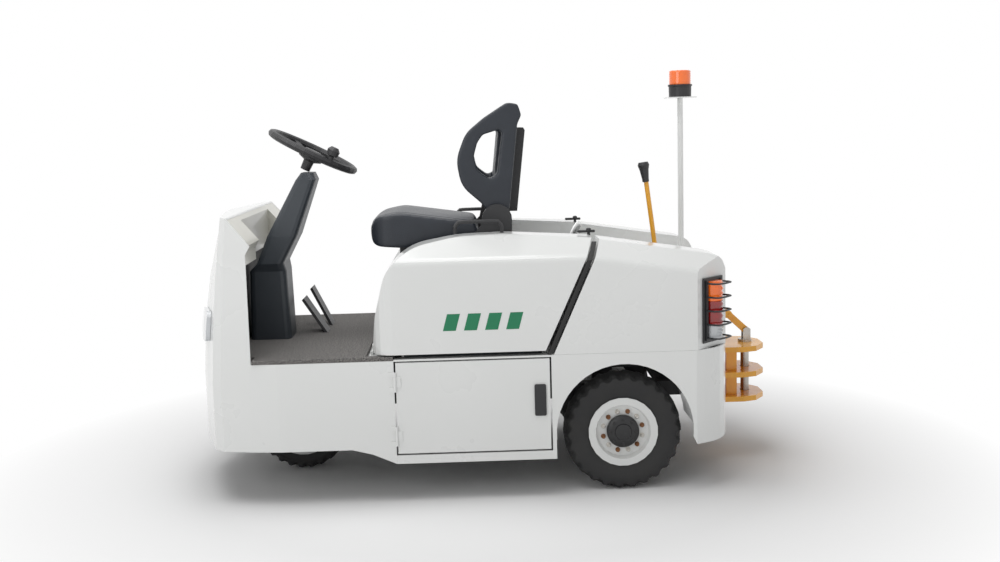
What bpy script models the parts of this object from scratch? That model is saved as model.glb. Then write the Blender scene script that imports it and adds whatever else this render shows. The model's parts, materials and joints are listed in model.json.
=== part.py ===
"""Electric three-wheel airport baggage tug, built as separate named sub-parts.

Frame: metres, +Z up, -X towards the nose, -Y towards the driver's left side.
The origin is on the floor, midway between the nose and the tip of the hitch plates.
Moving pieces hang from an empty that stands on their joint's axis.
"""

import math

import bmesh
import bpy
from mathutils import Matrix, Vector

# Driving dimensions -------------------------------------------------------------------------------
HALF_LENGTH = 1.065  # nose to origin, and origin to the tip of the hitch plates
HALF_WIDTH = 0.500  # side panels
PANEL = 0.006  # thickness of the sheet panels
TOUCH = 0.0003  # gap between faces that rest on each other
MOVING_GAP = 0.006  # gap round doors and lids

REAR_AXLE_X = 0.475
WHEELBASE = 1.180
FRONT_AXLE_X = REAR_AXLE_X - WHEELBASE
REAR_TYRE_RADIUS = 0.2075
REAR_TYRE_WIDTH = 0.115
REAR_TRACK_HALF = 0.3875  # centre plane of a rear tyre
FRONT_TYRE_RADIUS = 0.178
FRONT_TYRE_WIDTH = 0.115
ROUND_STEPS = 24  # facets of a tyre, one of them flat on the floor

FLOOR_Z = 0.498  # top of the footwell floor
MAT_THICKNESS = 0.014
LOWER_TOP_Z = 0.5025  # top edge of the rear lower body
FRONT_SKIRT_Z = 0.190
SILL_Z = 0.136
BUMPER_Z = 0.172
DOOR_FRONT_X = -0.312
DOOR_REAR_X = 0.217
DOOR_LOW_Z = 0.172
DOOR_HIGH_Z = 0.491
CHEEK_REAR_X = -0.806
COWL_TOP_Z = 1.000
DASH_LOW_Z = 0.905
TAIL_X = 0.880  # rear face of the lower body

HOOD_LOW_Z = 0.518
DECK_Z = 0.800  # seat deck between the raised sides of the hood
DECK_HALF_WIDTH = 0.268
HOOD_HINGE = (-0.400, 0.508)  # x, z of the hood's front hinge line

BACKREST_PIVOT = (0.055, 0.955)
STEERING_CENTRE = (-0.6235, 1.209)
STEERING_RADIUS = 0.165
STEERING_RAKE = math.radians(27.0)  # of the steering axis, back from the vertical

LEVER_PIVOT = (0.686, 0.6125)
LEVER_BOLT = (0.942, 0.540)
LINK_EYE = (1.009, 0.477)
HITCH_PIN_X = 1.004
HITCH_PIN_RADIUS = 0.016
HITCH_PLATE_Z = (0.235, 0.328, 0.425)
HITCH_PLATE_THICKNESS = 0.020

SIDES = (("left", -1.0), ("right", 1.0))


# Materials ----------------------------------------------------------------------------------------
def material(name, colour, roughness, metallic=0.0):
    made = bpy.data.materials.new(name)
    made.use_nodes = True
    shader = made.node_tree.nodes["Principled BSDF"]
    shader.inputs["Base Color"].default_value = (*colour, 1.0)
    shader.inputs["Roughness"].default_value = roughness
    shader.inputs["Metallic"].default_value = metallic
    return made


for old in list(bpy.data.objects):
    bpy.data.objects.remove(old)

WHITE = material("white_paint", (0.80, 0.81, 0.80), 0.25)
CREAM = material("cream_paint", (0.72, 0.71, 0.64), 0.35)
BLACK = material("black_plastic", (0.02, 0.02, 0.022), 0.45)
GREY = material("dark_grey_plastic", (0.035, 0.042, 0.05), 0.5)
LINING = material("black_lining", (0.012, 0.012, 0.012), 0.7)
STEEL = material("chassis_steel", (0.03, 0.03, 0.032), 0.55, 0.4)
BARE = material("bare_steel", (0.42, 0.40, 0.37), 0.35, 1.0)
YELLOW = material("yellow_paint", (0.85, 0.42, 0.02), 0.3)
CARPET = material("mat_loops", (0.13, 0.13, 0.13), 0.95)
VINYL = material("seat_vinyl", (0.02, 0.022, 0.027), 0.4)
RUBBER = material("tyre_rubber", (0.015, 0.015, 0.015), 0.75)
AMBER = material("amber_lens", (0.90, 0.20, 0.02), 0.15)
RED = material("red_lens", (0.45, 0.02, 0.02), 0.15)
CLEAR = material("lamp_lens", (0.80, 0.82, 0.84), 0.1)


# Shapes -------------------------------------------------------------------------------------------
def shape(name, vertices, faces, look=None):
    """A closed mesh object with its faces pointing out."""
    mesh = bpy.data.meshes.new(name)
    mesh.from_pydata([tuple(v) for v in vertices], [], faces)
    edit = bmesh.new()
    edit.from_mesh(mesh)
    bmesh.ops.recalc_face_normals(edit, faces=edit.faces)
    edit.to_mesh(mesh)
    edit.free()
    made = bpy.data.objects.new(name, mesh)
    bpy.context.scene.collection.objects.link(made)
    if look:
        mesh.materials.append(look)
    return made


def loft(name, sections, look=None):
    """Skin through closed loops of the same number of points, capped at both ends."""
    count = len(sections[0])
    vertices = [point for section in sections for point in section]
    faces = [tuple(range(count)), tuple(range(len(vertices) - count, len(vertices)))]
    for row in range(len(sections) - 1):
        base = row * count
        for i in range(count):
            j = (i + 1) % count
            faces.append((base + i, base + j, base + count + j, base + count + i))
    return shape(name, vertices, faces, look)


def prism(name, outline, axis, low, high, look=None):
    """An outline of (first, second) row axes, pushed from low to high along the third."""
    place = {
        "X": lambda a, b, c: (c, a, b),
        "Y": lambda a, b, c: (a, c, b),
        "Z": lambda a, b, c: (a, b, c),
    }[axis]
    return loft(name, [[place(a, b, c) for a, b in outline] for c in (low, high)], look)


def box(name, low, high, look=None):
    (x0, y0, z0), (x1, y1, z1) = low, high
    return prism(name, [(x0, y0), (x1, y0), (x1, y1), (x0, y1)], "Z", z0, z1, look)


def turned(name, profile, centre, axis, steps=24, look=None, phase=0.0, closed=False):
    """A profile of (radius, distance along axis) turned round the axis through centre."""
    axis = Vector(axis).normalized()
    side = axis.orthogonal().normalized()
    if abs(axis.y) > 0.9:
        side = Vector((0, 0, -1))
    other = axis.cross(side)
    vertices, rings = [], []
    for radius, along in profile:
        if radius < 1e-6:
            rings.append([len(vertices)] * steps)
            vertices.append(Vector(centre) + axis * along)
            continue
        rings.append(list(range(len(vertices), len(vertices) + steps)))
        for k in range(steps):
            turn = 2 * math.pi * (k + phase) / steps
            out = side * math.cos(turn) + other * math.sin(turn)
            vertices.append(Vector(centre) + out * radius + axis * along)
    faces = []
    pairs = list(zip(rings, rings[1:])) + ([(rings[-1], rings[0])] if closed else [])
    for first, second in pairs:
        for k in range(steps):
            n = (k + 1) % steps
            corners = [first[k], first[n], second[n], second[k]]
            faces.append(tuple(dict.fromkeys(corners)))
    if not closed:
        faces += [tuple(ring) for ring in (rings[0], rings[-1]) if ring[0] != ring[1]]
    return shape(name, vertices, faces, look)


def rod(name, start, end, radius, look=None, steps=16):
    start, end = Vector(start), Vector(end)
    span = end - start
    return turned(name, [(radius, 0), (radius, span.length)], start, span, steps, look)


def tube(name, points, radius, look=None, sides=10):
    """A round bar bent along points, with flat ends."""
    points = [Vector(p) for p in points]
    across = (points[1] - points[0]).orthogonal().normalized()
    sections = []
    for i, point in enumerate(points):
        before = points[max(i - 1, 0)]
        after = points[min(i + 1, len(points) - 1)]
        ahead = (after - before).normalized()
        across = (across - ahead * across.dot(ahead)).normalized()
        up = ahead.cross(across)
        ring = []
        for k in range(sides):
            turn = 2 * math.pi * k / sides
            ring.append(point + (across * math.cos(turn) + up * math.sin(turn)) * radius)
        sections.append(ring)
    return loft(name, sections, look)


def rounded(corners, radius, steps=4):
    """An outline with its corners rounded. A corner may carry its own radius as a third value."""
    made = []
    count = len(corners)
    for i, corner in enumerate(corners):
        here = Vector(corner[:2])
        before = Vector(corners[i - 1][:2])
        after = Vector(corners[(i + 1) % count][:2])
        size = corner[2] if len(corner) > 2 else radius
        into, out = (before - here).normalized(), (after - here).normalized()
        half = math.acos(max(-1.0, min(1.0, into.dot(out)))) / 2
        if size <= 0 or half > math.radians(88):
            made.append(tuple(here))
            continue
        reach = min(size / math.tan(half), (before - here).length * 0.49,
                    (after - here).length * 0.49)
        first, last = here + into * reach, here + out * reach
        size = reach * math.tan(half)
        middle = here + (into + out).normalized() * (size / math.sin(half))
        a0 = math.atan2(*(first - middle).yx)
        a1 = math.atan2(*(last - middle).yx)
        sweep = (a1 - a0 + math.pi) % (2 * math.pi) - math.pi
        for k in range(steps + 1):
            turn = a0 + sweep * k / steps
            made.append((middle.x + size * math.cos(turn), middle.y + size * math.sin(turn)))
    return made


def inset(outline, distance):
    """The outline moved inwards by distance on every side."""
    count = len(outline)
    area = sum(
        outline[i][0] * outline[(i + 1) % count][1] - outline[(i + 1) % count][0] * outline[i][1]
        for i in range(count)
    )
    turn = 1.0 if area > 0 else -1.0
    made = []
    for i in range(count):
        before, here, after = (Vector(outline[(i + k) % count]) for k in (-1, 0, 1))
        one, two = (here - before).normalized(), (after - here).normalized()
        one, two = Vector((-one.y, one.x)) * turn, Vector((-two.y, two.x)) * turn
        both = (one + two).normalized()
        made.append(tuple(here + both * (distance / max(0.3, both.dot(one)))))
    return made


def combine(target, other, operation):
    """Applies a Boolean of the two objects to the target and removes the other one."""
    step = target.modifiers.new("step", "BOOLEAN")
    step.operation = operation
    step.solver = "EXACT"
    step.object = other
    graph = bpy.context.evaluated_depsgraph_get()
    mesh = bpy.data.meshes.new_from_object(target.evaluated_get(graph))
    target.modifiers.clear()
    look = list(target.data.materials)
    target.data = mesh
    mesh.materials.clear()
    for item in look:
        mesh.materials.append(item)
    bpy.data.objects.remove(other)
    return target


def join(target, *others):
    for other in others:
        combine(target, other, "UNION")
    return target


def cut(target, *others):
    for other in others:
        combine(target, other, "DIFFERENCE")
    return target


def common(target, *others):
    for other in others:
        combine(target, other, "INTERSECT")
    return target


def pivot(name, place, *children):
    """An empty on a joint's axis that carries the pieces which move about it."""
    empty = bpy.data.objects.new(name, None)
    empty.location = place
    empty.empty_display_size = 0.05
    bpy.context.scene.collection.objects.link(empty)
    bpy.context.view_layer.update()
    for child in children:
        child.parent = empty
        child.matrix_parent_inverse = empty.matrix_world.inverted()
    return empty


def mirrored(outline):
    """A half outline of (x, y) with y from 0 outwards, made whole about the x axis."""
    return outline + [(x, -y) for x, y in reversed(outline) if y > 1e-6]


def smooth_line(points, steps=4):
    """A curve that passes through the points."""
    made = []
    for i in range(len(points) - 1):
        p0, p1, p2, p3 = (
            Vector(points[min(max(k, 0), len(points) - 1)]) for k in (i - 1, i, i + 1, i + 2)
        )
        for k in range(steps):
            t = k / steps
            spot = (
                p1 * 2 + (p2 - p0) * t + (p0 * 2 - p1 * 5 + p2 * 4 - p3) * t * t
                + (p1 * 3 - p0 - p2 * 3 + p3) * t * t * t
            ) / 2
            made.append(tuple(spot))
    made.append(tuple(points[-1]))
    return made


# Front body: nose, cheeks, side skirts and footwell floor -------------------------------------------
# height, nose x, shoulder x: the nose leans back and flattens towards the top
NOSE_SECTIONS = (
    (0.10, -1.065, -0.918),
    (0.42, -1.065, -0.916),
    (0.60, -1.052, -0.906),
    (0.78, -1.020, -0.893),
    (0.92, -0.978, -0.880),
    (COWL_TOP_Z, -0.948, -0.873),
)
FRONT_BODY_REAR_X = DOOR_FRONT_X - MOVING_GAP
FIREWALL_X = -0.905
SLOPE_TOP_X = -0.870  # where the flat top of the cowl turns down towards the driver


def nose_outline(nose, shoulder, shrink):
    """Plan of the front body at one height, shrink inside the outer skin."""
    span = shoulder - nose
    half = [
        (nose + shrink, 0.0),
        (nose + shrink + span * 0.24, 0.200),
        (nose + shrink + span * 0.63, 0.375 - shrink * 0.5),
        (shoulder + shrink * 0.7, 0.465 - shrink * 0.7),
        (-0.715, HALF_WIDTH - shrink),
    ]
    return mirrored(smooth_line(half, 2) + [(FRONT_BODY_REAR_X + shrink * 4, HALF_WIDTH - shrink)])


def nose_solid(name, shrink, low, high):
    sections = []
    for height, nose, shoulder in NOSE_SECTIONS:
        level = low if height == NOSE_SECTIONS[0][0] else min(height, high)
        sections.append([(x, y, level) for x, y in nose_outline(nose, shoulder, shrink)])
    solid = loft(name, sections)
    # The same diagonals in every shell keep the inner one parallel to the outer one.
    edit = bmesh.new()
    edit.from_mesh(solid.data)
    quads = [face for face in edit.faces if len(face.verts) == 4]
    bmesh.ops.triangulate(edit, faces=quads, quad_method="FIXED")
    edit.to_mesh(solid.data)
    edit.free()
    return solid


def front_body():
    skirt = [
        (-1.2, FRONT_SKIRT_Z),
        (-0.47, FRONT_SKIRT_Z),
        (-0.40, FRONT_SKIRT_Z - 0.018),
        (-0.345, SILL_Z + 0.012),
        (FRONT_BODY_REAR_X, SILL_Z),
        (FRONT_BODY_REAR_X, FLOOR_Z),
        (CHEEK_REAR_X, FLOOR_Z),
        (CHEEK_REAR_X, DASH_LOW_Z - 0.030),
        (CHEEK_REAR_X + 0.018, DASH_LOW_Z),
        (SLOPE_TOP_X, COWL_TOP_Z),
        (-1.2, COWL_TOP_Z),
    ]
    body = nose_solid("front_body", 0.0, 0.0, COWL_TOP_Z)
    common(body, prism("profile", skirt, "Y", -1, 1))
    # The hollow below the floor runs the whole length; the one above it ends at the cowl.
    below = nose_solid("below", PANEL, -0.1, COWL_TOP_Z)
    cut(body, common(below, box("room", (-1.2, -1, -0.2), (0.2, 1, FLOOR_Z - PANEL))))
    above = nose_solid("above", PANEL, -0.1, COWL_TOP_Z)
    room = [
        (-1.2, FLOOR_Z),
        (CHEEK_REAR_X + 0.06, FLOOR_Z),
        (CHEEK_REAR_X + 0.06, 1.2),
        (SLOPE_TOP_X + 0.004, 1.2),
        (SLOPE_TOP_X + 0.004, COWL_TOP_Z - PANEL),
        (-1.2, COWL_TOP_Z - PANEL),
    ]
    cut(body, common(above, prism("room", room, "Y", -1, 1)))
    x, z = HOOD_HINGE
    for y in (-0.36, -0.24, 0.24, 0.36):
        knuckle = turned("knuckle", [(0.005, -0.020), (0.005, 0.020)], (x, y, z), (0, 1, 0), 12)
        foot = box("foot", (x - 0.004, y - 0.019, FLOOR_Z - 0.003), (x + 0.004, y + 0.019, z))
        join(body, join(knuckle, foot))
    for side in (-1, 1):
        for z in DOOR_HINGE_Z:
            for end in (-1, 1):
                join(body, door_knuckle(side, z + end * (DOOR_KNUCKLE_HALF + 0.0003 + 0.008), 0.008, -1))
    body.data.materials.append(WHITE)
    return body


# Door hinges stand a little proud of the side, their knuckles one above the other.
DOOR_HINGE_Z = (0.235, 0.425)
DOOR_KNUCKLE_HALF = 0.018
DOOR_KNUCKLE_RADIUS = 0.0050
DOOR_AXIS = (DOOR_FRONT_X - MOVING_GAP / 2, HALF_WIDTH + DOOR_KNUCKLE_RADIUS + 0.0005)


def door_knuckle(side, z, half, towards):
    """One hinge knuckle with its leaf, which runs forward (-1) or back (+1) into the panel."""
    x, y = DOOR_AXIS
    barrel = turned("barrel", [(DOOR_KNUCKLE_RADIUS, -half), (DOOR_KNUCKLE_RADIUS, half)],
                    (x, side * y, z), (0, 0, 1), 12)
    ends = sorted((x, x + towards * 0.020))
    inner, outer = HALF_WIDTH - 0.004, HALF_WIDTH + 0.0040
    ys = sorted((side * inner, side * outer))
    leaf = box("leaf", (ends[0], ys[0], z - half), (ends[1], ys[1], z + half))
    return join(barrel, leaf)


# Rear body: sills, wheel arches, top rail and rounded bumper ----------------------------------------
ARCH_RADIUS = 0.238
ARCH_CENTRE_Z = 0.225
ARCH_DEPTH = 0.200
# how far each point of the rounded bumper lies in front of its rear face, and in from the side
BUMPER_CURVE = ((0, None), (0.005, 0.34), (0.018, 0.19), (0.042, 0.10), (0.088, 0.04), (0.155, 0))


def lower_outline(shrink):
    front = FRONT_BODY_REAR_X + TOUCH - (0.1 if shrink else 0)
    half = [
        (TAIL_X - shrink - ahead, 0 if side is None else HALF_WIDTH - shrink - side)
        for ahead, side in BUMPER_CURVE
    ]
    return mirrored(smooth_line(half, 2) + [(front, HALF_WIDTH - shrink)])


def rear_body():
    body = prism("rear_body", lower_outline(0), "Z", 0.0, LOWER_TOP_Z)
    profile = [
        (-0.5, SILL_Z),
        (REAR_AXLE_X - ARCH_RADIUS - 0.0005, SILL_Z),
        (REAR_AXLE_X - ARCH_RADIUS - 0.0005, ARCH_CENTRE_Z - 0.02),
        (REAR_AXLE_X + ARCH_RADIUS * 0.985, ARCH_CENTRE_Z - 0.02),
        (REAR_AXLE_X + ARCH_RADIUS + 0.012, BUMPER_Z),
        (TAIL_X + 0.1, BUMPER_Z),
        (TAIL_X + 0.1, 1.0),
        (-0.5, 1.0),
    ]
    common(body, prism("profile", profile, "Y", -1, 1))
    cut(body, prism("hollow", lower_outline(PANEL), "Z", -0.1, 1.0))
    top = prism("top", lower_outline(0), "Z", LOWER_TOP_Z - PANEL, LOWER_TOP_Z)
    bay = box("bay", (-1.0, -HALF_WIDTH + 0.045, 0), (TAIL_X - 0.05, HALF_WIDTH - 0.045, 1))
    join(body, cut(top, bay))
    low_lip = prism("lip", lower_outline(0), "Z", SILL_Z, SILL_Z + PANEL)
    cut(low_lip, box("bay", (-1.0, -HALF_WIDTH + 0.045, 0), (2, HALF_WIDTH - 0.045, 1)))
    common(low_lip, box("keep", (-1, -1, 0), (REAR_AXLE_X - ARCH_RADIUS - 0.0008, 1, 1)))
    join(body, low_lip)
    for name, side in SIDES:
        ys = sorted((side * (HALF_WIDTH - ARCH_DEPTH), side * (HALF_WIDTH - 0.0008)))
        liner = turned("liner", [
            (ARCH_RADIUS + 0.001, ys[0]), (ARCH_RADIUS + 0.001, ys[1]),
            (ARCH_RADIUS + 0.006, ys[1]), (ARCH_RADIUS + 0.006, ys[0]),
        ], (REAR_AXLE_X, 0, ARCH_CENTRE_Z), (0, 1, 0), 48, None, 0.5, True)
        cut(liner, box("under", (-2, -2, -1), (2, 2, ARCH_CENTRE_Z + 0.02)))
        wheel_space = turned("space", [(ARCH_RADIUS, -0.35), (ARCH_RADIUS, 0.35)],
                             (REAR_AXLE_X, side * (HALF_WIDTH + 0.15), ARCH_CENTRE_Z),
                             (0, 1, 0), 48, None, 0.5)
        cut(body, wheel_space)
        join(body, liner)
        cut(body, box("doorway", (DOOR_FRONT_X - MOVING_GAP - 0.2, min(side * 0.4, side * 0.6),
                                  DOOR_LOW_Z - MOVING_GAP),
                      (DOOR_REAR_X + MOVING_GAP, max(side * 0.4, side * 0.6),
                       DOOR_HIGH_Z + MOVING_GAP - 0.001)))
    body.data.materials.append(WHITE)
    return body


def side_door(name, side):
    ys = sorted((side * (HALF_WIDTH - 0.022), side * HALF_WIDTH))
    door = box(name, (DOOR_FRONT_X, ys[0], DOOR_LOW_Z), (DOOR_REAR_X, ys[1], DOOR_HIGH_Z), WHITE)
    ys = sorted((side * (HALF_WIDTH - 0.1), side * (HALF_WIDTH - 0.003)))
    cut(door, box("pan", (DOOR_FRONT_X + 0.003, ys[0], DOOR_LOW_Z + 0.003),
                  (DOOR_REAR_X - 0.003, ys[1], DOOR_HIGH_Z - 0.003)))
    for z in DOOR_HINGE_Z:
        join(door, door_knuckle(side, z, DOOR_KNUCKLE_HALF, 1))
    return door


def door_handle(name, side):
    """Recessed paddle latch, seated on the door's outer skin."""
    low, high = sorted((side * (HALF_WIDTH + TOUCH), side * (HALF_WIDTH + 0.006)))
    outline = rounded([(0.163, 0.292), (0.203, 0.292), (0.203, 0.402), (0.163, 0.402)], 0.005, 2)
    return prism(name, outline, "Y", low, high, BLACK)


# Hood: the lid over the battery that carries the seat ------------------------------------------------
HOOD_REAR = ((0.205, HOOD_LOW_Z), (0.374, 0.884))  # x, z at the foot and top of its slanted rear edge
SIDE_TOP_Z = 0.838  # where the sides turn in to the sloping shoulders
SHOULDER_HALF = 0.365
HOOD_PROFILE = [
    (0.205, HOOD_LOW_Z, 0),
    (-0.392, HOOD_LOW_Z, 0.01),
    (-0.380, 0.640, 0.30),
    (-0.335, 0.815, 0.20),
    (-0.245, 0.880, 0.20),
    (-0.090, 0.908, 0.6),
    (0.080, 0.912, 0.6),
    (0.378, 0.893, 0),
]
REAR_PROFILE = [
    (0.2325, 0.5030, 0),
    (0.850, 0.5030, 0),
    (0.850, 0.770, 0.02),
    (0.832, 0.812, 0.05),
    (0.790, 0.826, 0.06),
    (0.405, 0.887, 0),
]


def upper_section(top, shrink):
    """Cross-section of hood and rear cover: upright sides, sloping shoulders and a flat top."""
    half = HALF_WIDTH - shrink
    right = [
        (half, 0.40, 0),
        (half, SIDE_TOP_Z - top, 0.03),
        (SHOULDER_HALF, 0.912 - shrink, 0.06),
    ]
    corners = right + [(-y, z, size) for y, z, size in reversed(right)]
    return rounded(corners, 0, 4)


def hood_solid(name, shrink):
    profile = rounded(HOOD_PROFILE, 0, 5)
    plan = [
        (-0.42, -HALF_WIDTH, 0.075),
        (0.60, -HALF_WIDTH, 0),
        (0.60, HALF_WIDTH, 0),
        (-0.42, HALF_WIDTH, 0.075),
    ]
    plan[0] = (-0.392, -HALF_WIDTH, 0.075)
    plan[3] = (-0.392, HALF_WIDTH, 0.075)
    if shrink:
        profile = inset(profile, shrink)
        profile = [(x, z if z > HOOD_LOW_Z + 0.02 else 0.30) for x, z in profile]
    made = prism(name, profile, "Y", -HALF_WIDTH - 0.1, HALF_WIDTH + 0.1)
    common(made, prism("plan", inset(rounded(plan, 0, 5), shrink), "Z", 0, 2))
    common(made, prism("section", upper_section(0.0, shrink), "X", -1, 1))
    return made


def deck_cut(low_x, high_x, half, depth_z, slope=0.0):
    """The channel between the raised sides, its corners rounded."""
    low = 1.0
    outline = rounded([(-half, low, 0), (-half, depth_z, 0.02), (half, depth_z, 0.02),
                       (half, low, 0)], 0, 3)
    return loft("channel", [
        [(low_x, y, z) for y, z in outline],
        [(high_x, y, z - (slope if z < 0.95 else 0)) for y, z in outline],
    ])


def seat_hood():
    hood = hood_solid("seat_hood", 0.0)
    cut(hood, deck_cut(-0.6, 0.6, DECK_HALF_WIDTH, DECK_Z))
    room = hood_solid("room", PANEL)
    cut(room, deck_cut(-0.6, 0.6, DECK_HALF_WIDTH + PANEL, DECK_Z - PANEL))
    cut(hood, room)
    x, z = HOOD_HINGE
    for y in (-0.30, 0.30):
        knuckle = turned("knuckle", [(0.005, -0.0397), (0.005, 0.0397)], (x, y, z), (0, 1, 0), 12)
        leaf = box("leaf", (x - 0.002, y - 0.039, z), (x + 0.0135, y + 0.039, z + 0.020))
        join(hood, join(knuckle, leaf))
    hood.data.materials.append(WHITE)
    return hood


REAR_DECK_HALF = 0.250
LEVER_SLOT = (0.470, 0.030)  # front end and half width of the slot that the hitch lever swings in
SLOT_LOW_Z = 0.528  # foot of the slot in the tail


def rear_solid(name, shrink):
    profile = rounded(REAR_PROFILE, 0, 4)
    plan = [
        (0.0, -HALF_WIDTH), (0.728, -HALF_WIDTH), (0.850, -0.375),
        (0.850, 0.375), (0.728, HALF_WIDTH), (0.0, HALF_WIDTH),
    ]
    if shrink:
        profile = inset(profile, shrink)
        profile = [(x, z if z > 0.52 else 0.30) for x, z in profile]
        plan = inset(plan, shrink)
    made = prism(name, profile, "Y", -0.6, 0.6)
    common(made, prism("plan", plan, "Z", 0, 2))
    # The shoulders fall with the top towards the tail.
    sections = []
    for x, drop in ((0.0, -0.055), (1.0, 0.100)):
        sections.append([(x, y, z - (drop if z > 0.5 else 0)) for y, z in upper_section(0, shrink)])
    common(made, loft("section", sections))
    return made


def rear_cover():
    cover = rear_solid("rear_cover", 0.0)
    cut(cover, deck_cut(0.2, 0.95, REAR_DECK_HALF, 0.800, 0.105))
    room = rear_solid("room", PANEL)
    cut(room, deck_cut(0.2, 0.95, REAR_DECK_HALF + PANEL, 0.800 - PANEL, 0.105))
    cut(cover, room)
    slot_front, slot_half = LEVER_SLOT
    cut(cover, box("slot", (slot_front, -slot_half, SLOT_LOW_Z), (1.2, slot_half, 1.2)))
    cover.data.materials.append(WHITE)
    return cover




# Chassis, under the body --------------------------------------------------------------------------
RAIL_Y = (0.232, 0.288)
RAIL_Z = (0.300, 0.352)
RAIL_FRONT_X = -0.905
RAIL_REAR_X = 0.845
CARRIER_Z = (0.430, 0.470)
CROSSBAR_Z = (0.395, 0.470)
BATTERY_X = (-0.285, 0.195)
HITCH_SEAT_X = TAIL_X + TOUCH
HITCH_WIDTH = 0.120  # half width of the hitch plates
PIN_HOLE_RADIUS = HITCH_PIN_RADIUS + 0.003
REAR_HUB_Y = 0.330  # inner face of the rear wheels


def chassis_frame():
    frame = box("chassis_frame", (RAIL_FRONT_X, RAIL_Y[0], RAIL_Z[0]), (RAIL_REAR_X, RAIL_Y[1], RAIL_Z[1]))
    join(frame, box("rail", (RAIL_FRONT_X, -RAIL_Y[1], RAIL_Z[0]), (RAIL_REAR_X, -RAIL_Y[0], RAIL_Z[1])))
    for x0, x1 in ((RAIL_FRONT_X, RAIL_FRONT_X + 0.04), (-0.420, -0.360), (0.225, 0.265), (0.805, RAIL_REAR_X)):
        join(frame, box("cross", (x0, -RAIL_Y[0] - 0.01, RAIL_Z[0]), (x1, RAIL_Y[0] + 0.01, RAIL_Z[1])))
    # Kingpin carrier, bridged over the front wheel.
    x0, x1 = FRONT_AXLE_X - 0.070, FRONT_AXLE_X + 0.070
    join(frame, box("carrier", (x0, -RAIL_Y[1] + 0.002, CARRIER_Z[0]), (x1, RAIL_Y[1] - 0.002, CARRIER_Z[1])))
    for side in (-1, 1):
        ys = sorted((side * (RAIL_Y[0] + 0.004), side * (RAIL_Y[1] - 0.004)))
        join(frame, box("web", (x0, ys[0], RAIL_Z[1] - 0.01), (x1, ys[1], CARRIER_Z[1] - 0.002)))
        # Feet that carry the floor and the lower body.
        for x in (-0.560, -0.380, 0.790):
            join(frame, box("foot", (x, ys[0], RAIL_Z[1] - 0.01), (x + 0.040, ys[1], FLOOR_Z - PANEL - TOUCH)))
        # Lever bracket.
        ys = sorted((side * 0.034, side * 0.044))
        foot = [(0.640, 0.310), (0.840, 0.310), (0.840, 0.350), (0.725, 0.640), (0.700, 0.650),
                (0.672, 0.650), (0.650, 0.635), (0.640, 0.350)]
        join(frame, prism("bracket", foot, "Y", *ys))
    join(frame, box("bracket_bar", (0.640, -RAIL_Y[0] - 0.01, 0.305), (0.680, RAIL_Y[0] + 0.01, 0.345)))
    x, z = LEVER_PIVOT
    cut(frame, rod("bore", (x, -0.1, z), (x, 0.1, z), 0.0123))
    frame.data.materials.append(STEEL)
    return frame


def rear_axle():
    axle = rod("rear_axle", (REAR_AXLE_X, -REAR_HUB_Y, REAR_TYRE_RADIUS),
               (REAR_AXLE_X, REAR_HUB_Y, REAR_TYRE_RADIUS), 0.036, None, 20)
    join(axle, rod("motor", (REAR_AXLE_X, -0.125, REAR_TYRE_RADIUS), (REAR_AXLE_X, 0.125, REAR_TYRE_RADIUS),
                   0.078, None, 20))
    for side in (-1, 1):
        ys = sorted((side * (RAIL_Y[0] + 0.004), side * (RAIL_Y[1] - 0.004)))
        join(axle, box("pad", (REAR_AXLE_X - 0.040, ys[0], REAR_TYRE_RADIUS - 0.02),
                       (REAR_AXLE_X + 0.040, ys[1], RAIL_Z[0] - TOUCH)))
        join(axle, rod("stub", (REAR_AXLE_X, side * (REAR_HUB_Y - 0.01), REAR_TYRE_RADIUS),
                       (REAR_AXLE_X, side * (HALF_WIDTH - 0.095), REAR_TYRE_RADIUS), 0.0197, None, 16))
    axle.data.materials.append(STEEL)
    return axle


def battery_block():
    return prism("battery_block", rounded([
        (BATTERY_X[0], -0.440), (BATTERY_X[1], -0.440), (BATTERY_X[1], 0.440), (BATTERY_X[0], 0.440),
    ], 0.01, 2), "Z", RAIL_Z[1] + TOUCH, 0.700, GREY)


# Wheels -------------------------------------------------------------------------------------------
RIM_SEAT_RADIUS = 0.1015
RIM_FLANGE_RADIUS = 0.1225
HUB_RADIUS = 0.0565
STUB_BORE_RADIUS = 0.0200
WHEEL_BOLT_RING = 0.071


def tyre(name, centre, radius, width):
    half = width / 2
    radius /= math.cos(math.pi / ROUND_STEPS)  # so that the lowest facet lies on the floor
    bead = RIM_SEAT_RADIUS + TOUCH
    profile = [(bead, 0.044), (bead + 0.022, 0.047), (bead + 0.048, half - 0.001), (radius - 0.024, half),
               (radius - 0.006, half - 0.008), (radius, half - 0.022)]
    whole = profile + [(r, -y) for r, y in reversed(profile)]
    return turned(name, whole, centre, (0, 1, 0), ROUND_STEPS, RUBBER, 0.5, True)


def rim(name, centre, side, bore):
    """A disc wheel, dished towards the side it shows, with its nuts and hub."""
    seat, lip = RIM_SEAT_RADIUS, 0.0485
    profile = [
        (seat, -0.0450), (RIM_FLANGE_RADIUS, -lip), (RIM_FLANGE_RADIUS, -lip - 0.004),
        (seat - 0.004, -lip - 0.004), (seat - 0.007, 0.018), (bore, 0.018),
        (bore, 0.0520), (0.040, 0.0520), (HUB_RADIUS, 0.0460), (HUB_RADIUS, 0.0300),
        (0.091, 0.0300), (seat - 0.004, lip + 0.004), (RIM_FLANGE_RADIUS, lip + 0.004),
        (RIM_FLANGE_RADIUS, lip), (seat, 0.0450),
    ]
    return turned(name, [(r, side * y) for r, y in profile], centre, (0, 1, 0), ROUND_STEPS, WHITE, 0.5, True)


def front_wheel():
    centre = (FRONT_AXLE_X, 0, FRONT_TYRE_RADIUS)
    wheel = tyre("front_tyre", centre, FRONT_TYRE_RADIUS, FRONT_TYRE_WIDTH)
    hub = rim("front_rim", centre, -1, STUB_BORE_RADIUS)
    return wheel, hub


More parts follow.
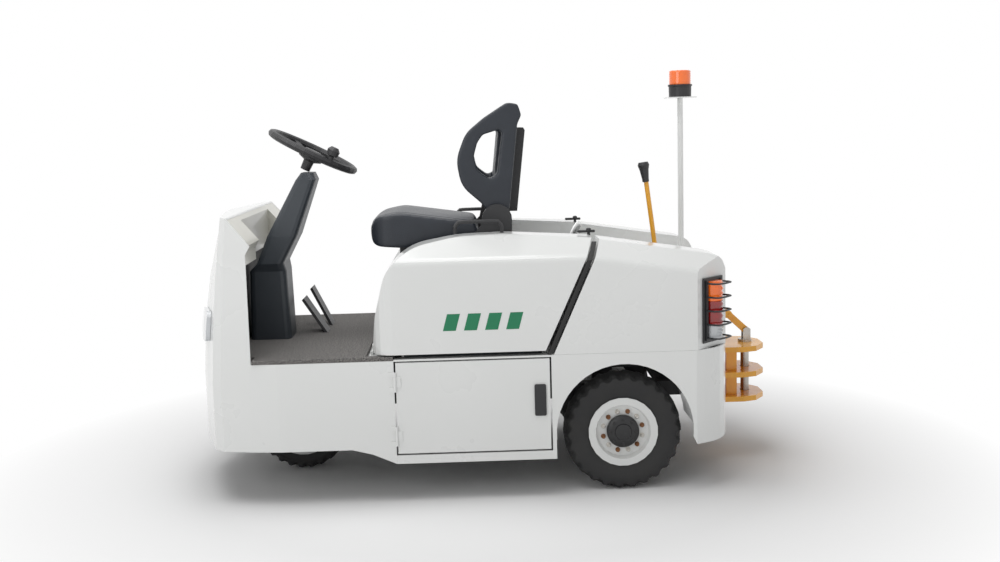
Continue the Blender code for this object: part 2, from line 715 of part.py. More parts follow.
FORK_LEG_Y = (0.0660, 0.0780)


def steer_fork():
    x, z = FRONT_AXLE_X, FRONT_TYRE_RADIUS
    crown_low = 0.384
    fork = turned("steer_fork", [(0.085, crown_low), (0.085, 0.408), (0.050, 0.408),
                                 (0.050, CARRIER_Z[0] - TOUCH)], (x, 0, 0), (0, 0, 1), 24)
    for side in (-1, 1):
        ys = sorted(side * y for y in FORK_LEG_Y)
        leg = [(x - 0.040, crown_low + 0.01), (x - 0.045, z + 0.05), (x - 0.030, z - 0.035),
               (x + 0.030, z - 0.035), (x + 0.045, z + 0.05), (x + 0.040, crown_low + 0.01)]
        join(fork, prism("leg", leg, "Y", *ys))
        join(fork, box("shoulder", (x - 0.040, min(ys[0], side * 0.05), crown_low + 0.002),
                       (x + 0.040, max(ys[1], side * 0.05), crown_low + 0.022)))
    join(fork, rod("axle", (x, -FORK_LEG_Y[0] - 0.004, z), (x, FORK_LEG_Y[0] + 0.004, z),
                   STUB_BORE_RADIUS - TOUCH))
    fork.data.materials.append(STEEL)
    return fork


# Footwell -----------------------------------------------------------------------------------------
MAT_TOP_Z = FLOOR_Z + MAT_THICKNESS
MAT_REAR_X = -0.414
COLUMN_FOOT = (-0.880, -0.728)  # x of the cover over the lower column, front and rear
COLUMN_HALF = 0.085


def cowl_lining():
    """Black board behind the dash that closes the nose from the footwell."""
    low, high = FLOOR_Z + TOUCH, 0.836
    return box("cowl_lining", (FIREWALL_X, -0.430, low), (FIREWALL_X + 0.012, 0.430, high), LINING)


def dash_panel():
    """Sloping dash between the cheeks with a switch box at either end."""
    front = SLOPE_TOP_X + 0.004 + TOUCH
    rear = CHEEK_REAR_X
    slope = (COWL_TOP_Z - DASH_LOW_Z) / (CHEEK_REAR_X + 0.018 - SLOPE_TOP_X)
    drop = 0.0015
    outline = [
        (front, COWL_TOP_Z - PANEL - 0.10), (front, COWL_TOP_Z - 0.004 * slope - drop),
        (rear + 0.018 - 0.004, DASH_LOW_Z + 0.004 * slope - drop), (rear - 0.0005, DASH_LOW_Z - 0.020),
        (rear - 0.0005, 0.840), (front, 0.840),
    ]
    panel = prism("dash_panel", outline, "Y", -HALF_WIDTH, HALF_WIDTH)
    common(panel, nose_solid("between", PANEL + 0.0015, 0.0, COWL_TOP_Z))
    # The middle lies lower, round the steering column.
    cut(panel, box("middle", (front + 0.012, -0.280, 0.80), (rear + 0.1, 0.280, 1.1)))
    panel.data.materials.append(CREAM)
    return panel


def column_cover():
    """Dark cover of the steering column, wide at the dash and narrow under the wheel."""
    rows = (
        # z, front x, rear x, half width
        (MAT_TOP_Z + TOUCH, *COLUMN_FOOT, 0.080),
        (0.770, -0.872, -0.735, 0.085),
        (0.800, -0.842, -0.742, 0.098),
        (0.900, -0.800, -0.688, 0.094),
        (1.105, -0.688, -0.612, 0.070),
        (1.132, -0.668, -0.622, 0.058),
    )
    sections = []
    for z, front, rear, half in rows:
        outline = rounded([(front, -half), (rear, -half), (rear, half), (front, half)], 0.022, 3)
        sections.append([(x, y, z) for x, y in outline])
    return loft("column_cover", sections, GREY)


def floor_mat():
    inner = CHEEK_REAR_X + 0.004
    rear = FRONT_BODY_REAR_X - 0.001
    front = FIREWALL_X + 0.0123 + TOUCH
    half = HALF_WIDTH - 0.004
    outline = [
        (inner, -half), (rear, -half), (rear, -half + 0.030),
        (MAT_REAR_X, -half + 0.030), (MAT_REAR_X, half - 0.030), (rear, half - 0.030), (rear, half), (inner, half), (inner, 0.425), (front, 0.425),
        (front, -0.425), (inner, -0.425),
    ]
    return prism("floor_mat", outline, "Z", FLOOR_Z + TOUCH, MAT_TOP_Z, CARPET)


def pedal(name, y, half, top):
    """A treadle that stands on the mat."""
    foot = (-0.606, MAT_TOP_Z + TOUCH)
    outline = [foot, (foot[0] - 0.012, foot[1]), top, (top[0] + 0.008, top[1] + 0.008)]
    return prism(name, outline, "Y", y - half, y + half, BLACK)


# Steering wheel -----------------------------------------------------------------------------------
STEER_AXIS = Vector((math.sin(STEERING_RAKE), 0, math.cos(STEERING_RAKE)))
RIM_TUBE = 0.0145


def steering_wheel():
    centre = Vector(STEERING_CENTRE[:1] + (0.0,) + STEERING_CENTRE[1:])
    ring = [(STEERING_RADIUS + RIM_TUBE * math.cos(a), RIM_TUBE * math.sin(a))
            for a in (2 * math.pi * k / 8 for k in range(8))]
    wheel = turned("steering_wheel", ring, centre, STEER_AXIS, 32, None, 0, True)
    hub = turned("hub", [(0.018, -0.0755), (0.020, -0.040), (0.045, -0.030), (0.045, -0.004), (0.030, 0.004)],
                 centre, STEER_AXIS, 20)
    along = Vector((STEER_AXIS.z, 0, -STEER_AXIS.x))
    across = Vector((0, 1, 0))
    for angle in (0, 125, -125):
        out = along * math.cos(math.radians(angle)) + across * math.sin(math.radians(angle))
        side = STEER_AXIS.cross(out)
        sections = []
        for reach, half, rise in ((0.030, 0.020, -0.018), (0.100, 0.014, -0.014), (STEERING_RADIUS, 0.011, 0.0)):
            at = centre + out * reach + STEER_AXIS * rise
            sections.append([at + side * half * a + STEER_AXIS * 0.006 * b
                             for a, b in ((-1, -1), (1, -1), (1, 1), (-1, 1))])
        join(hub, loft("spoke", sections))
    join(wheel, hub)
    knob_turn = math.radians(-60)
    out = along * math.cos(knob_turn) + across * math.sin(knob_turn)
    knob = turned("knob", [(0.010, 0.0), (0.010, 0.022), (0.022, 0.028), (0.0235, 0.046), (0.014, 0.058)],
                  centre + out * STEERING_RADIUS, STEER_AXIS, 16)
    join(wheel, knob)
    wheel.data.materials.append(BLACK)
    return wheel


# Seat ---------------------------------------------------------------------------------------------
SEAT_HALF = 0.232
CUSHION_LOW_Z = 0.858


def seat_base():
    """Slide and pan under the cushion, with the fixed side covers of the recliner."""
    base = box("seat_base", (-0.300, -0.190, DECK_Z + TOUCH), (0.060, 0.190, CUSHION_LOW_Z - TOUCH))
    join(base, box("rear_beam", (0.030, -SEAT_HALF - 0.025, 0.842), (0.105, SEAT_HALF + 0.025, 0.880)))
    px, pz = BACKREST_PIVOT
    for side in (-1, 1):
        ys = sorted((side * (SEAT_HALF + 0.006), side * (SEAT_HALF + 0.026)))
        arc = [(px + 0.054 * math.cos(a), pz + 0.054 * math.sin(a))
               for a in (math.radians(-5 + 20 * k) for k in range(10))]
        outline = arc + [(-0.005, 0.930), (-0.030, 0.905), (-0.030, 0.844), (0.105, 0.844)]
        join(base, prism("cover", outline, "Y", *ys))
    base.data.materials.append(BLACK)
    return base


def seat_cushion():
    """Front edge rolled over; the outline is the side view."""
    profile = rounded([(-0.400, CUSHION_LOW_Z + 0.008, 0.03), (-0.408, 0.965, 0.05), (-0.300, 0.985, 0.10),
                       (-0.030, 0.945, 0.02), (-0.012, 0.915, 0.01), (-0.012, CUSHION_LOW_Z, 0.01),
                       (-0.300, CUSHION_LOW_Z, 0)], 0, 4)
    cushion = prism("seat_cushion", profile, "Y", -SEAT_HALF, SEAT_HALF, VINYL)
    front = rounded([(-0.410, -SEAT_HALF, 0.08), (0.1, -SEAT_HALF, 0), (0.1, SEAT_HALF, 0),
                     (-0.410, SEAT_HALF, 0.08)], 0, 5)
    return common(cushion, prism("plan", front, "Z", 0, 2))




def back_plane(z):
    """x of the backrest's flat rear face, which leans back."""
    return 0.107 + (z - 1.030) * 0.115


WING = [
    (back_plane(0.985), 0.985, 0), (back_plane(1.290), 1.290, 0), (0.152, 1.322, 0.012),
    (0.140, 1.362, 0.012), (0.100, 1.368, 0.03), (0.020, 1.318, 0.10), (-0.050, 1.262, 0.10),
    (-0.086, 1.170, 0.12), (-0.070, 1.075, 0.10), (0.000, 1.012, 0.02), (0.020, 0.985, 0.01),
]
WING_HOLE = [
    (0.083, 1.276, 0.012), (0.060, 1.112, 0.02), (0.030, 1.098, 0.012), (-0.012, 1.130, 0.03),
    (-0.022, 1.180, 0.04), (-0.008, 1.228, 0.03), (0.012, 1.256, 0.01),
]
BACK_PAN_HALF = 0.170


def seat_backrest():
    wing = rounded(WING, 0, 4)
    back = prism("seat_backrest", wing, "Y", -SEAT_HALF, SEAT_HALF, VINYL)
    cut(back, prism("hole", rounded(WING_HOLE, 0, 3), "Y", -0.4, 0.4))
    # Between the wings only a thin curved pad is left.
    hollow = rounded([(-0.3, 1.000, 0), (0.030, 1.000, 0), (0.050, 1.050, 0.08), (0.072, 1.250, 0.1),
                      (0.060, 1.330, 0.05), (-0.3, 1.500, 0)], 0, 3)
    cut(back, prism("hollow", hollow, "Y", -BACK_PAN_HALF, BACK_PAN_HALF))
    pad = rounded([(0.020, 0.985), (back_plane(0.985) - 0.001, 0.985), (back_plane(1.290) - 0.001, 1.290), (0.110, 1.345),
                   (0.075, 1.320), (0.066, 1.250), (0.044, 1.060), (0.020, 1.015)], 0.01, 2)
    join(back, prism("pad", pad, "Y", -BACK_PAN_HALF - 0.01, BACK_PAN_HALF + 0.01))
    # Ears that reach down to the recliner pins.
    px, pz = BACKREST_PIVOT
    for side in (-1, 1):
        ys = sorted((side * (SEAT_HALF - 0.018), side * SEAT_HALF))
        ear = [(px - 0.022, pz - 0.022), (px + 0.022, pz - 0.022), (px + 0.040, 1.010), (px - 0.030, 1.010)]
        join(back, prism("ear", rounded(ear, 0.008, 2), "Y", *ys))
        ys = sorted((side * (SEAT_HALF - 0.01), side * (SEAT_HALF + 0.006 - TOUCH)))
        join(back, rod("boss", (px, ys[0], pz), (px, ys[1], pz), 0.018))
    return back


def seat_back_box():
    """Document box behind the backrest."""
    low, high, depth, gap = 0.975, 1.278, 0.031, 0.0006
    outline = [
        (back_plane(0.990) + gap, 0.990), (back_plane(high) + gap, high), (back_plane(high) + depth - 0.006, high),
        (back_plane(high) + depth, high - 0.010), (back_plane(low) + depth, low), (back_plane(low) + gap, low),
    ]
    return prism("seat_back_box", outline, "Y", -0.150, 0.150, BLACK)


def grab_rail(name, side):
    y = side * 0.316
    points = smooth_line([(-0.096, 0.9123), (-0.096, 0.935), (-0.086, 0.949), (-0.070, 0.953),
                          (0.043, 0.953), (0.059, 0.949), (0.069, 0.935), (0.069, 0.9123)], 2)
    return tube(name, [(x, y, z) for x, z in points], 0.007, BLACK, 8)


# Lamps, beacon ------------------------------------------------------------------------------------
LAMP_FACE = ((0.728, 0.500), (0.850, 0.375))  # x, y of the slanted lamp face of the rear cover
LAMP_Z = (0.522, 0.748)


def on_lamp_face(side, along, out):
    """A point of the slanted face: along it from its middle, and out of it."""
    one, two = Vector(LAMP_FACE[0]), Vector(LAMP_FACE[1])
    run = (two - one).normalized()
    spot = (one + two) / 2 + run * along + Vector((-run.y, run.x)) * out
    return spot.x, side * spot.y


def lamp_slab(name, side, along, out, heights, look=None):
    corners = [on_lamp_face(side, a, o) for a, o in (
        (along[0], out[0]), (along[1], out[0]), (along[1], out[1]), (along[0], out[1]))]
    return prism(name, corners, "Z", *heights, look)


def tail_lamp(name, side):
    lamp = lamp_slab(name, side, (-0.060, 0.060), (TOUCH, 0.007), LAMP_Z, RED)
    return join(lamp, lamp_slab("lens", side, (-0.030, 0.030), (0.004, 0.042), (LAMP_Z[0] + 0.012, LAMP_Z[1] - 0.012)))


def lamp_guard(name, side):
    guard = None
    for k in range(5):
        z = LAMP_Z[0] + 0.018 + k * (LAMP_Z[1] - LAMP_Z[0] - 0.036) / 4
        points = [(*on_lamp_face(side, a, o), z) for a, o in smooth_line([
            (-0.044, 0.0074), (-0.044, 0.040), (-0.036, 0.054), (0, 0.058), (0.036, 0.054), (0.044, 0.040), (0.044, 0.0074)], 1)]
        hoop = tube("hoop", points, 0.0035, None, 6)
        guard = hoop if guard is None else join(guard, hoop)
    for along in (-0.044, 0.044):
        join(guard, lamp_slab("upright", side, (along - 0.005, along + 0.005), (0.0074, 0.012),
                              (LAMP_Z[0] + 0.008, LAMP_Z[1] - 0.008)))
    guard.name = name
    guard.data.materials.append(BLACK)
    return guard


POLE_X, POLE_Y = 0.790, 0.170
POLE_RADIUS = 0.011
BEACON_Z = 1.378
REAR_DECK_DROP = 0.105 / 0.75


def beacon_pole():
    deck = 0.800 - REAR_DECK_DROP * (POLE_X - 0.2)
    pole = rod("beacon_pole", (POLE_X, POLE_Y, deck - 0.010), (POLE_X, POLE_Y, BEACON_Z - 0.002), POLE_RADIUS)
    drop = REAR_DECK_DROP * 0.030
    foot = [(POLE_X - 0.030, deck + drop + TOUCH), (POLE_X + 0.030, deck - drop + TOUCH),
            (POLE_X + 0.030, deck - drop + 0.006), (POLE_X - 0.030, deck + drop + 0.006)]
    join(pole, prism("foot", foot, "Y", POLE_Y - 0.030, POLE_Y + 0.030))
    common(pole, box("keep", (0, 0, 0), (1, 1, 2)))
    under = [(0, -1), (2, -1), (2, 0.800 - REAR_DECK_DROP * 1.8 + TOUCH), (0, 0.800 + REAR_DECK_DROP * 0.2 + TOUCH)]
    cut(pole, prism("under", under, "Y", -1, 1))
    join(pole, box("plate", (POLE_X - 0.055, POLE_Y - 0.055, BEACON_Z - 0.004),
                   (POLE_X + 0.055, POLE_Y + 0.055, BEACON_Z)))
    pole.data.materials.append(WHITE)
    return pole


def beacon():
    at = (POLE_X, POLE_Y, 0)
    ring = BEACON_Z + 0.044
    base = turned("beacon_base", [(0.043, BEACON_Z + TOUCH), (0.044, ring - 0.004), (0.047, ring - 0.002),
                                  (0.047, ring + 0.004), (0.030, ring + 0.004)], at, (0, 0, 1), 24, BLACK)
    lens = turned("beacon_lens", [(0.040, ring + 0.004 + TOUCH), (0.042, ring + 0.012), (0.042, 1.474),
                                  (0.038, 1.480)], at, (0, 0, 1), 24, AMBER)
    return base, lens


def headlamp(name, side):
    """Rectangular lamp, set square to the nose."""
    y0, y1 = 0.225, 0.365
    slab = nose_solid(name, -0.014, 0.0, 1.0)
    cut(slab, nose_solid("inner", -0.0008, -0.1, 1.1))
    ys = sorted((side * y0, side * y1))
    outline = rounded([(ys[0], 0.560), (ys[1], 0.560), (ys[1], 0.668), (ys[0], 0.668)], 0.02, 3)
    common(slab, prism("keep", outline, "X", -1.3, -0.85))
    slab.data.materials.append(CLEAR)
    return slab


# Hitch --------------------------------------------------------------------------------------------
def hitch_plate_outline(half, tip):
    return mirrored([(tip, 0.0), (tip, half * 0.35), (tip - 0.040, half * 0.85), (tip - 0.090, half),
                     (HITCH_SEAT_X + 0.004, half)])


def hitch_block():
    block = box("hitch_block", (HITCH_SEAT_X, -HITCH_WIDTH - 0.020, 0.215),
                (HITCH_SEAT_X + 0.010, HITCH_WIDTH + 0.020, 0.440))
    half = HITCH_PLATE_THICKNESS / 2
    for z in HITCH_PLATE_Z:
        outline = hitch_plate_outline(HITCH_WIDTH, HALF_LENGTH)
        join(block, prism("plate", outline, "Z", z - half, z + half))
    for side in (-1, 1):
        ys = sorted((side * 0.066, side * 0.084))
        join(block, box("spacer", (0.915, ys[0], HITCH_PLATE_Z[0]), (0.955, ys[1], HITCH_PLATE_Z[2])))
    cut(block, rod("pin_hole", (HITCH_PIN_X, 0, 0), (HITCH_PIN_X, 0, 1), PIN_HOLE_RADIUS))
    block.data.materials.append(YELLOW)
    return block


PIN_LOW_Z = 0.212
PIN_EYE_HALF = 0.0125


def hitch_pin():
    """The pin hangs from its collar, which rests on the top plate."""
    seat = HITCH_PLATE_Z[2] + HITCH_PLATE_THICKNESS / 2 + TOUCH
    pin = turned("hitch_pin", [(HITCH_PIN_RADIUS - 0.004, PIN_LOW_Z), (HITCH_PIN_RADIUS, PIN_LOW_Z + 0.006),
                               (HITCH_PIN_RADIUS, seat), (0.026, seat), (0.026, seat + 0.010)],
                 (HITCH_PIN_X, 0, 0), (0, 0, 1), 20)
    for side in (-1, 1):
        ys = sorted((side * PIN_EYE_HALF, side * (PIN_EYE_HALF + 0.006)))
        x, z = LINK_EYE
        ear = [(x - 0.014, seat + 0.004), (x + 0.014, seat + 0.004), (x + 0.014, z + 0.008), (x + 0.006, z + 0.014),
               (x - 0.006, z + 0.014), (x - 0.014, z + 0.008)]
        join(pin, prism("ear", ear, "Y", *ys))
    pin.data.materials.append(BARE)
    return pin


LINK_HALF = 0.009


def hitch_link():
    (bx, bz), (ex, ez) = LEVER_BOLT, LINK_EYE
    along = Vector((ex - bx, ez - bz)).normalized()
    across = Vector((-along.y, along.x)) * 0.013
    start, end = Vector((bx, bz)) - along * 0.012, Vector((ex, ez)) + along * 0.010
    outline = rounded([start - across, end - across, end + across, start + across], 0.010, 3)
    link = prism("hitch_link", [tuple(p) for p in outline], "Y", -LINK_HALF, LINK_HALF)
    cut(link, rod("bore", (ex, -0.1, ez), (ex, 0.1, ez), 0.0075))
    cut(link, rod("bore", (bx, -0.1, bz), (bx, 0.1, bz), 0.0063))
    link.data.materials.append(YELLOW)
    return link


def hitch_lever():
    px, pz = LEVER_PIVOT
    top = Vector((0.629, 0, 1.060))
    lever = rod("hitch_lever", (px, 0, pz), top, 0.009, None, 12)
    hub = rod("hub", (px, -0.024, pz), (px, 0.024, pz), 0.024, None, 20)
    pin = rod("pivot_pin", (px, -0.052, pz), (px, 0.052, pz), 0.012, None, 16)
    join(hub, pin)
    bx, bz = LEVER_BOLT
    for side in (-1, 1):
        ys = sorted((side * (LINK_HALF + TOUCH), side * 0.019))
        outline = [(px - 0.010, pz - 0.022), (px + 0.010, pz + 0.022), (bx - 0.090, bz + 0.056),
                   (bx + 0.006, bz + 0.015), (bx + 0.015, bz), (bx + 0.004, bz - 0.014),
                   (bx - 0.110, bz + 0.018)]
        join(hub, prism("arm", outline, "Y", *ys))
    join(hub, rod("bolt", (bx, -0.023, bz), (bx, 0.023, bz), 0.006))
    cut(hub, box("gap", (px + 0.04, -LINK_HALF - TOUCH, 0), (bx - 0.016, LINK_HALF + TOUCH, 1)))
    join(lever, hub)
    lever.data.materials.append(YELLOW)
    return lever


def lever_knob():
    low, high = Vector((0.628, 0, 1.060)), Vector((0.618, 0, 1.134))
    axis = (high - low).normalized()
    return turned("lever_knob", [(0.0125, TOUCH), (0.013, 0.012), (0.017, 0.045), (0.022, 0.064), (0.018, 0.075)],
                  low, axis, 20, BLACK)


# Assembly -----------------------------------------------------------------------------------------
front_body()
rear_body()
chassis_frame()
rear_axle()
battery_block()
cowl_lining()
dash_panel()
column_cover()
floor_mat()
pedal("brake_pedal", 0.085, 0.045, (-0.700, 0.640))
pedal("accelerator_pedal", 0.250, 0.040, (-0.690, 0.660))
rear_cover()
hitch_block()
beacon_pole()
beacon()

for name, side in SIDES:
    axis_x, axis_y = DOOR_AXIS
    pivot("door_axis_" + name, (axis_x, side * axis_y, 0.33),
          side_door("side_door_" + name, side), door_handle("door_handle_" + name, side))
    headlamp("headlamp_" + name, side)
    tail_lamp("tail_lamp_" + name, side)
    lamp_guard("lamp_guard_" + name, side)
    centre = (REAR_AXLE_X, side * REAR_TRACK_HALF, REAR_TYRE_RADIUS)
    pivot("rear_wheel_" + name, centre,
          tyre("rear_tyre_" + name, centre, REAR_TYRE_RADIUS, REAR_TYRE_WIDTH),
          rim("rear_rim_" + name, centre, side, STUB_BORE_RADIUS))

back_axis = pivot("backrest_axis", (BACKREST_PIVOT[0], 0, BACKREST_PIVOT[1]), seat_backrest(), seat_back_box())
hood_axis = pivot("hood_axis", (HOOD_HINGE[0], 0, HOOD_HINGE[1]), seat_hood(), seat_base(), seat_cushion(),
                  grab_rail("grab_rail_left", -1), grab_rail("grab_rail_right", 1), back_axis)
wheel_axis = pivot("front_wheel", (FRONT_AXLE_X, 0, FRONT_TYRE_RADIUS), *front_wheel())
pivot("steer_axis", (FRONT_AXLE_X, 0, CARRIER_Z[0]), steer_fork(), wheel_axis)
pivot("steering_wheel_axis", (STEERING_CENTRE[0], 0, STEERING_CENTRE[1]), steering_wheel())
link_axis = pivot("link_axis", (LEVER_BOLT[0], 0, LEVER_BOLT[1]), hitch_link())
pivot("lever_axis", (LEVER_PIVOT[0], 0, LEVER_PIVOT[1]), hitch_lever(), lever_knob(), link_axis)
pivot("hitch_pin_axis", (HITCH_PIN_X, 0, HITCH_PLATE_Z[2]), hitch_pin())
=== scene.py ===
import json
import math

import bmesh
import bpy
from mathutils import Matrix, Vector


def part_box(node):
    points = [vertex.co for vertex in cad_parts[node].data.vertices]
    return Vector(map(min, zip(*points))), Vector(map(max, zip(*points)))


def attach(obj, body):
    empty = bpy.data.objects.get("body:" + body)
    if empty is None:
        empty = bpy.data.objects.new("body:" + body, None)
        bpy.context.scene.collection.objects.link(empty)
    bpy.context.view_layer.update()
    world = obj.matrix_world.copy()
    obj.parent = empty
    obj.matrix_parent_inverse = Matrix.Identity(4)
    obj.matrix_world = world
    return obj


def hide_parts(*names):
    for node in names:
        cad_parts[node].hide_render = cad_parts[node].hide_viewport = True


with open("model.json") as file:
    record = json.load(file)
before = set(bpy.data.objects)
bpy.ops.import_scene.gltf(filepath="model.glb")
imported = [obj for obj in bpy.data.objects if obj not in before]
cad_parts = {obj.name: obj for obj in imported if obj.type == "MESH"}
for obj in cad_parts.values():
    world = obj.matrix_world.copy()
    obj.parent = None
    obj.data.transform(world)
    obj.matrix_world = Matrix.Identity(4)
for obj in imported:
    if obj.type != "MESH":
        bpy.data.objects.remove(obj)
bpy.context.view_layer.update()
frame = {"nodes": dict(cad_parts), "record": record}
nodes = frame["nodes"]
scene = bpy.context.scene

# Studio -------------------------------------------------------------------------------------------
# A white floor that fades into a white surround, a soft roof of light and one softbox at the
# driver's side. The camera stands four and a half metres off and about 1.3 m up.
EYE = Vector((-0.0263, -4.4799, 1.2898))
EYE_TURN = math.radians(1.163)
EYE_DIP = math.radians(7.529)
EYE_ROLL = math.radians(-1.564)
LENS_MM = 42.56
WORLD_LEVEL = 0.34
FLOOR_FADE = (1.1, 2.0)  # from the middle, where the paper starts to fade and where it is gone

flat = Vector((math.sin(EYE_TURN), math.cos(EYE_TURN), 0))
ahead = flat * math.cos(EYE_DIP) - Vector((0, 0, math.sin(EYE_DIP)))
level = Vector((math.cos(EYE_TURN), -math.sin(EYE_TURN), 0))
upward = level.cross(ahead)
across = level * math.cos(EYE_ROLL) + upward * math.sin(EYE_ROLL)
upward = upward * math.cos(EYE_ROLL) - level * math.sin(EYE_ROLL)
camera = bpy.data.objects.new("camera", bpy.data.cameras.new("camera"))
camera.data.lens = LENS_MM
camera.data.sensor_width = 36
camera.matrix_world = Matrix.Translation(EYE) @ Matrix((across, upward, -ahead)).transposed().to_4x4()
scene.collection.objects.link(camera)
scene.camera = camera
scene.view_settings.view_transform = "Standard"


def softbox(name, place, aim, size, power):
    lamp = bpy.data.objects.new(name, bpy.data.lights.new(name, "AREA"))
    lamp.data.shape = "RECTANGLE"
    lamp.data.size, lamp.data.size_y = size
    lamp.data.energy = power
    lamp.location = place
    lamp.rotation_euler = (Vector(aim) - Vector(place)).to_track_quat("-Z", "Y").to_euler()
    scene.collection.objects.link(lamp)


softbox("roof_light", (-0.8, -0.6, 4.2), (0, 0, 0.4), (3.5, 3.0), 95)
softbox("side_light", (-2.6, -4.2, 2.4), (0, 0, 0.6), (2.5, 2.0), 34)

world = bpy.data.worlds.new("surround")
scene.world = world
world.use_nodes = True
tree = world.node_tree
sky = tree.nodes["Background"]
sky.inputs["Color"].default_value = (1, 1, 1, 1)
rays = tree.nodes.new("ShaderNodeLightPath")
seen = tree.nodes.new("ShaderNodeMath")
seen.operation = "MAXIMUM"
tree.links.new(rays.outputs["Is Camera Ray"], seen.inputs[0])
tree.links.new(rays.outputs["Is Glossy Ray"], seen.inputs[1])
glow = tree.nodes.new("ShaderNodeMapRange")
glow.inputs["To Min"].default_value = WORLD_LEVEL
glow.inputs["To Max"].default_value = 1.0
tree.links.new(seen.outputs[0], glow.inputs["Value"])
tree.links.new(glow.outputs["Result"], sky.inputs["Strength"])

floor_mesh = bpy.data.meshes.new("studio_floor")
floor_mesh.from_pydata([(-30, -30, 0), (30, -30, 0), (30, 30, 0), (-30, 30, 0)], [], [(0, 1, 2, 3)])
floor = bpy.data.objects.new("studio_floor", floor_mesh)
scene.collection.objects.link(floor)
paper = bpy.data.materials.new("white_paper")
paper.use_nodes = True
tree = paper.node_tree
matt = tree.nodes["Principled BSDF"]
matt.inputs["Base Color"].default_value = (0.90, 0.90, 0.90, 1)
matt.inputs["Roughness"].default_value = 0.9
bright = tree.nodes.new("ShaderNodeEmission")
place = tree.nodes.new("ShaderNodeTexCoord")
reach = tree.nodes.new("ShaderNodeVectorMath")
reach.operation = "LENGTH"
fade = tree.nodes.new("ShaderNodeMapRange")
fade.inputs["From Min"].default_value = FLOOR_FADE[0]
fade.inputs["From Max"].default_value = FLOOR_FADE[1]
blend = tree.nodes.new("ShaderNodeMixShader")
tree.links.new(place.outputs["Object"], reach.inputs[0])
tree.links.new(reach.outputs["Value"], fade.inputs["Value"])
tree.links.new(fade.outputs["Result"], blend.inputs["Fac"])
tree.links.new(matt.outputs[0], blend.inputs[1])
tree.links.new(bright.outputs[0], blend.inputs[2])
tree.links.new(blend.outputs[0], tree.nodes["Material Output"].inputs["Surface"])
floor_mesh.materials.append(paper)

# Finishes -----------------------------------------------------------------------------------------
# Every finish starts from one pair of effects: a cloudy change of tone and shine, as handling and
# dust leave it, and a fine relief. The relief is orange peel on paint and grain on plastic.


def surface_group():
    group = bpy.data.node_groups.new("worn_surface", "ShaderNodeTree")
    face = group.interface
    for label, kind in (("Color", "NodeSocketColor"), ("Second Color", "NodeSocketColor"),
                        ("Cloud Scale", "NodeSocketFloat"), ("Cloud Amount", "NodeSocketFloat"),
                        ("Grain Scale", "NodeSocketFloat"), ("Roughness", "NodeSocketFloat"),
                        ("Roughness Spread", "NodeSocketFloat")):
        face.new_socket(label, in_out="INPUT", socket_type=kind)
    for label, kind in (("Color", "NodeSocketColor"), ("Roughness", "NodeSocketFloat"),
                        ("Grain", "NodeSocketFloat")):
        face.new_socket(label, in_out="OUTPUT", socket_type=kind)
    make, join = group.nodes.new, group.links.new
    given, result = make("NodeGroupInput"), make("NodeGroupOutput")
    spot = make("ShaderNodeTexCoord")
    cloud, grain = make("ShaderNodeTexNoise"), make("ShaderNodeTexNoise")
    cloud.inputs["Detail"].default_value = 5
    grain.inputs["Detail"].default_value = 3
    for noise, scale in ((cloud, "Cloud Scale"), (grain, "Grain Scale")):
        join(spot.outputs["Object"], noise.inputs["Vector"])
        join(given.outputs[scale], noise.inputs["Scale"])
    share = make("ShaderNodeMapRange")
    share.inputs["From Min"].default_value = 0.35
    share.inputs["From Max"].default_value = 0.75
    join(cloud.outputs["Fac"], share.inputs["Value"])
    join(given.outputs["Cloud Amount"], share.inputs["To Max"])
    tone = make("ShaderNodeMix")
    tone.data_type = "RGBA"
    join(share.outputs["Result"], tone.inputs["Factor"])
    join(given.outputs["Color"], tone.inputs["A"])
    join(given.outputs["Second Color"], tone.inputs["B"])
    rough = make("ShaderNodeMath")
    rough.operation = "MULTIPLY_ADD"
    join(cloud.outputs["Fac"], rough.inputs[0])
    join(given.outputs["Roughness Spread"], rough.inputs[1])
    join(given.outputs["Roughness"], rough.inputs[2])
    join(tone.outputs["Result"], result.inputs["Color"])
    join(rough.outputs[0], result.inputs["Roughness"])
    join(grain.outputs["Fac"], result.inputs["Grain"])
    return group


worn_surface = surface_group()


# A finish is given its colour and the second colour it clouds to, its roughness and how far that
# spreads, (scale, amount) of the clouds, (scale, depth in metres) of the grain, then metal, coat, glow.
def finish(name, colour, second, rough, spread=0.1, cloud=(3, 0.3), grain=(400, 0.0002),
           metallic=0.0, coat=0.0, glow=0.0):
    made = bpy.data.materials.new(name)
    made.use_nodes = True
    tree = made.node_tree
    shader = tree.nodes["Principled BSDF"]
    shader.inputs["Metallic"].default_value = metallic
    shader.inputs["Coat Weight"].default_value = coat
    shader.inputs["Coat Roughness"].default_value = 0.08
    effect = tree.nodes.new("ShaderNodeGroup")
    effect.node_tree = worn_surface
    for label, value in (("Color", (*colour, 1)), ("Second Color", (*second, 1)), ("Cloud Scale", cloud[0]),
                         ("Cloud Amount", cloud[1]), ("Grain Scale", grain[0]),
                         ("Roughness", rough - spread / 2), ("Roughness Spread", spread)):
        effect.inputs[label].default_value = value
    bump = tree.nodes.new("ShaderNodeBump")
    bump.inputs["Distance"].default_value = grain[1]
    bump.inputs["Strength"].default_value = 0.6
    tree.links.new(effect.outputs["Color"], shader.inputs["Base Color"])
    tree.links.new(effect.outputs["Roughness"], shader.inputs["Roughness"])
    tree.links.new(effect.outputs["Grain"], bump.inputs["Height"])
    tree.links.new(bump.outputs["Normal"], shader.inputs["Normal"])
    if glow:
        tree.links.new(effect.outputs["Color"], shader.inputs["Emission Color"])
        shader.inputs["Emission Strength"].default_value = glow
    return made


